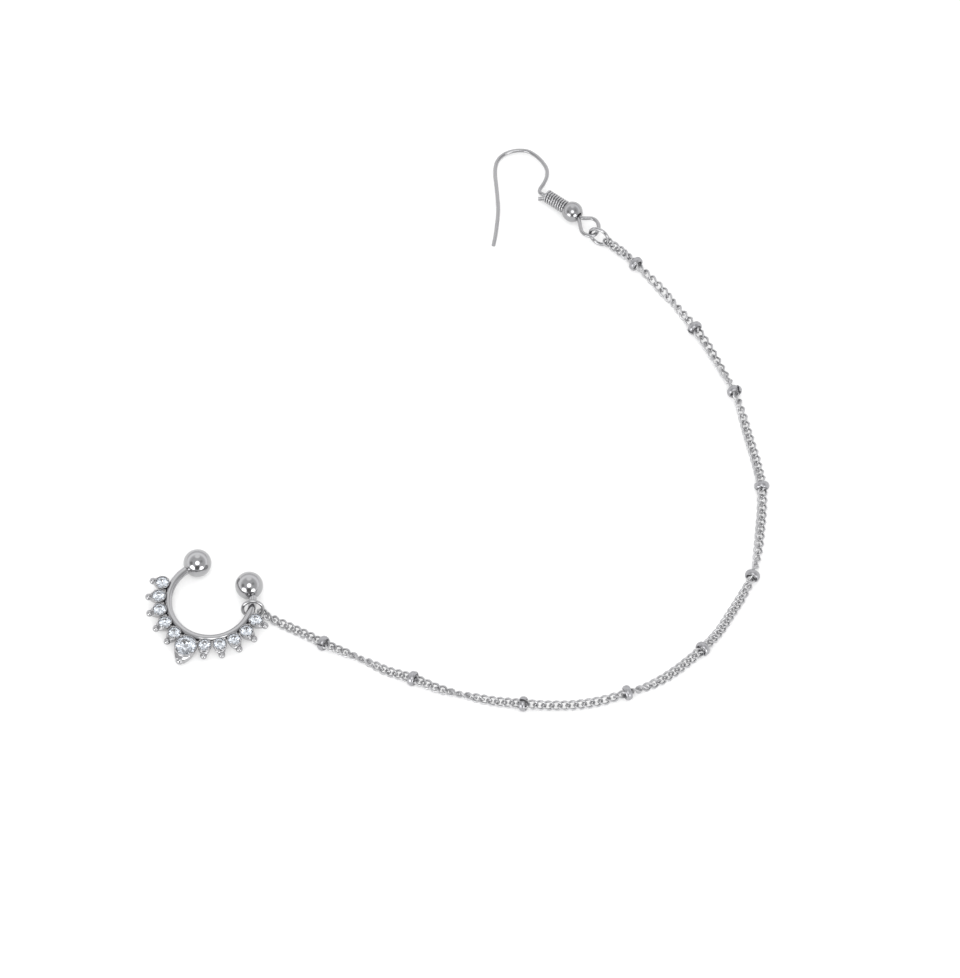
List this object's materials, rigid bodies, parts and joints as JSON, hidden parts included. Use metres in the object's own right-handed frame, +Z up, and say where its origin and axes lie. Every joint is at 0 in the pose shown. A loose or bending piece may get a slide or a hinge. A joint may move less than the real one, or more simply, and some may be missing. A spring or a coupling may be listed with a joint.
{
  "type": "fake septum chain",
  "caption": "Open nose ring with soldered end balls and a row of set clear stones, joined by a fine beaded curb chain to a French ear hook with coil and bead.",
  "frame": {"origin": "middle of the bounding box, on the surface that the piece lies on", "axes": "+Z up from the surface; the piece lies flat; nose ring at -X, ear hook at +Y, the chain's arc bowed towards -Y and +X"},
  "size_m": [0.0886, 0.0934, 0.004],
  "materials": {
    "ring_metal": "polished silver tone",
    "crystal": "cut clear stone",
    "jump_ring_metal": "polished silver tone",
    "chain_metal": "polished silver tone",
    "bead_metal": "polished silver tone",
    "hook_metal": "polished silver tone"
  },
  "bodies": {
    "root": {"septum_ring": "ring_metal", "stone_large": "crystal", "stone_left_1": "crystal", "stone_left_2": "crystal", "stone_left_3": "crystal", "stone_left_4": "crystal", "stone_left_5": "crystal", "stone_right_1": "crystal", "stone_right_2": "crystal", "stone_right_3": "crystal", "stone_right_4": "crystal", "stone_right_5": "crystal", "ring_jump_ring": "jump_ring_metal", "satellite_chain": "chain_metal", "station_bead_01": "bead_metal", "station_bead_02": "bead_metal", "station_bead_03": "bead_metal", "station_bead_04": "bead_metal", "station_bead_05": "bead_metal", "station_bead_06": "bead_metal", "station_bead_07": "bead_metal", "station_bead_08": "bead_metal", "station_bead_09": "bead_metal", "station_bead_10": "bead_metal", "hook_jump_ring": "jump_ring_metal", "ear_hook": "hook_metal", "hook_coil": "hook_metal", "hook_bead": "bead_metal"}
  },
  "joints": []
}
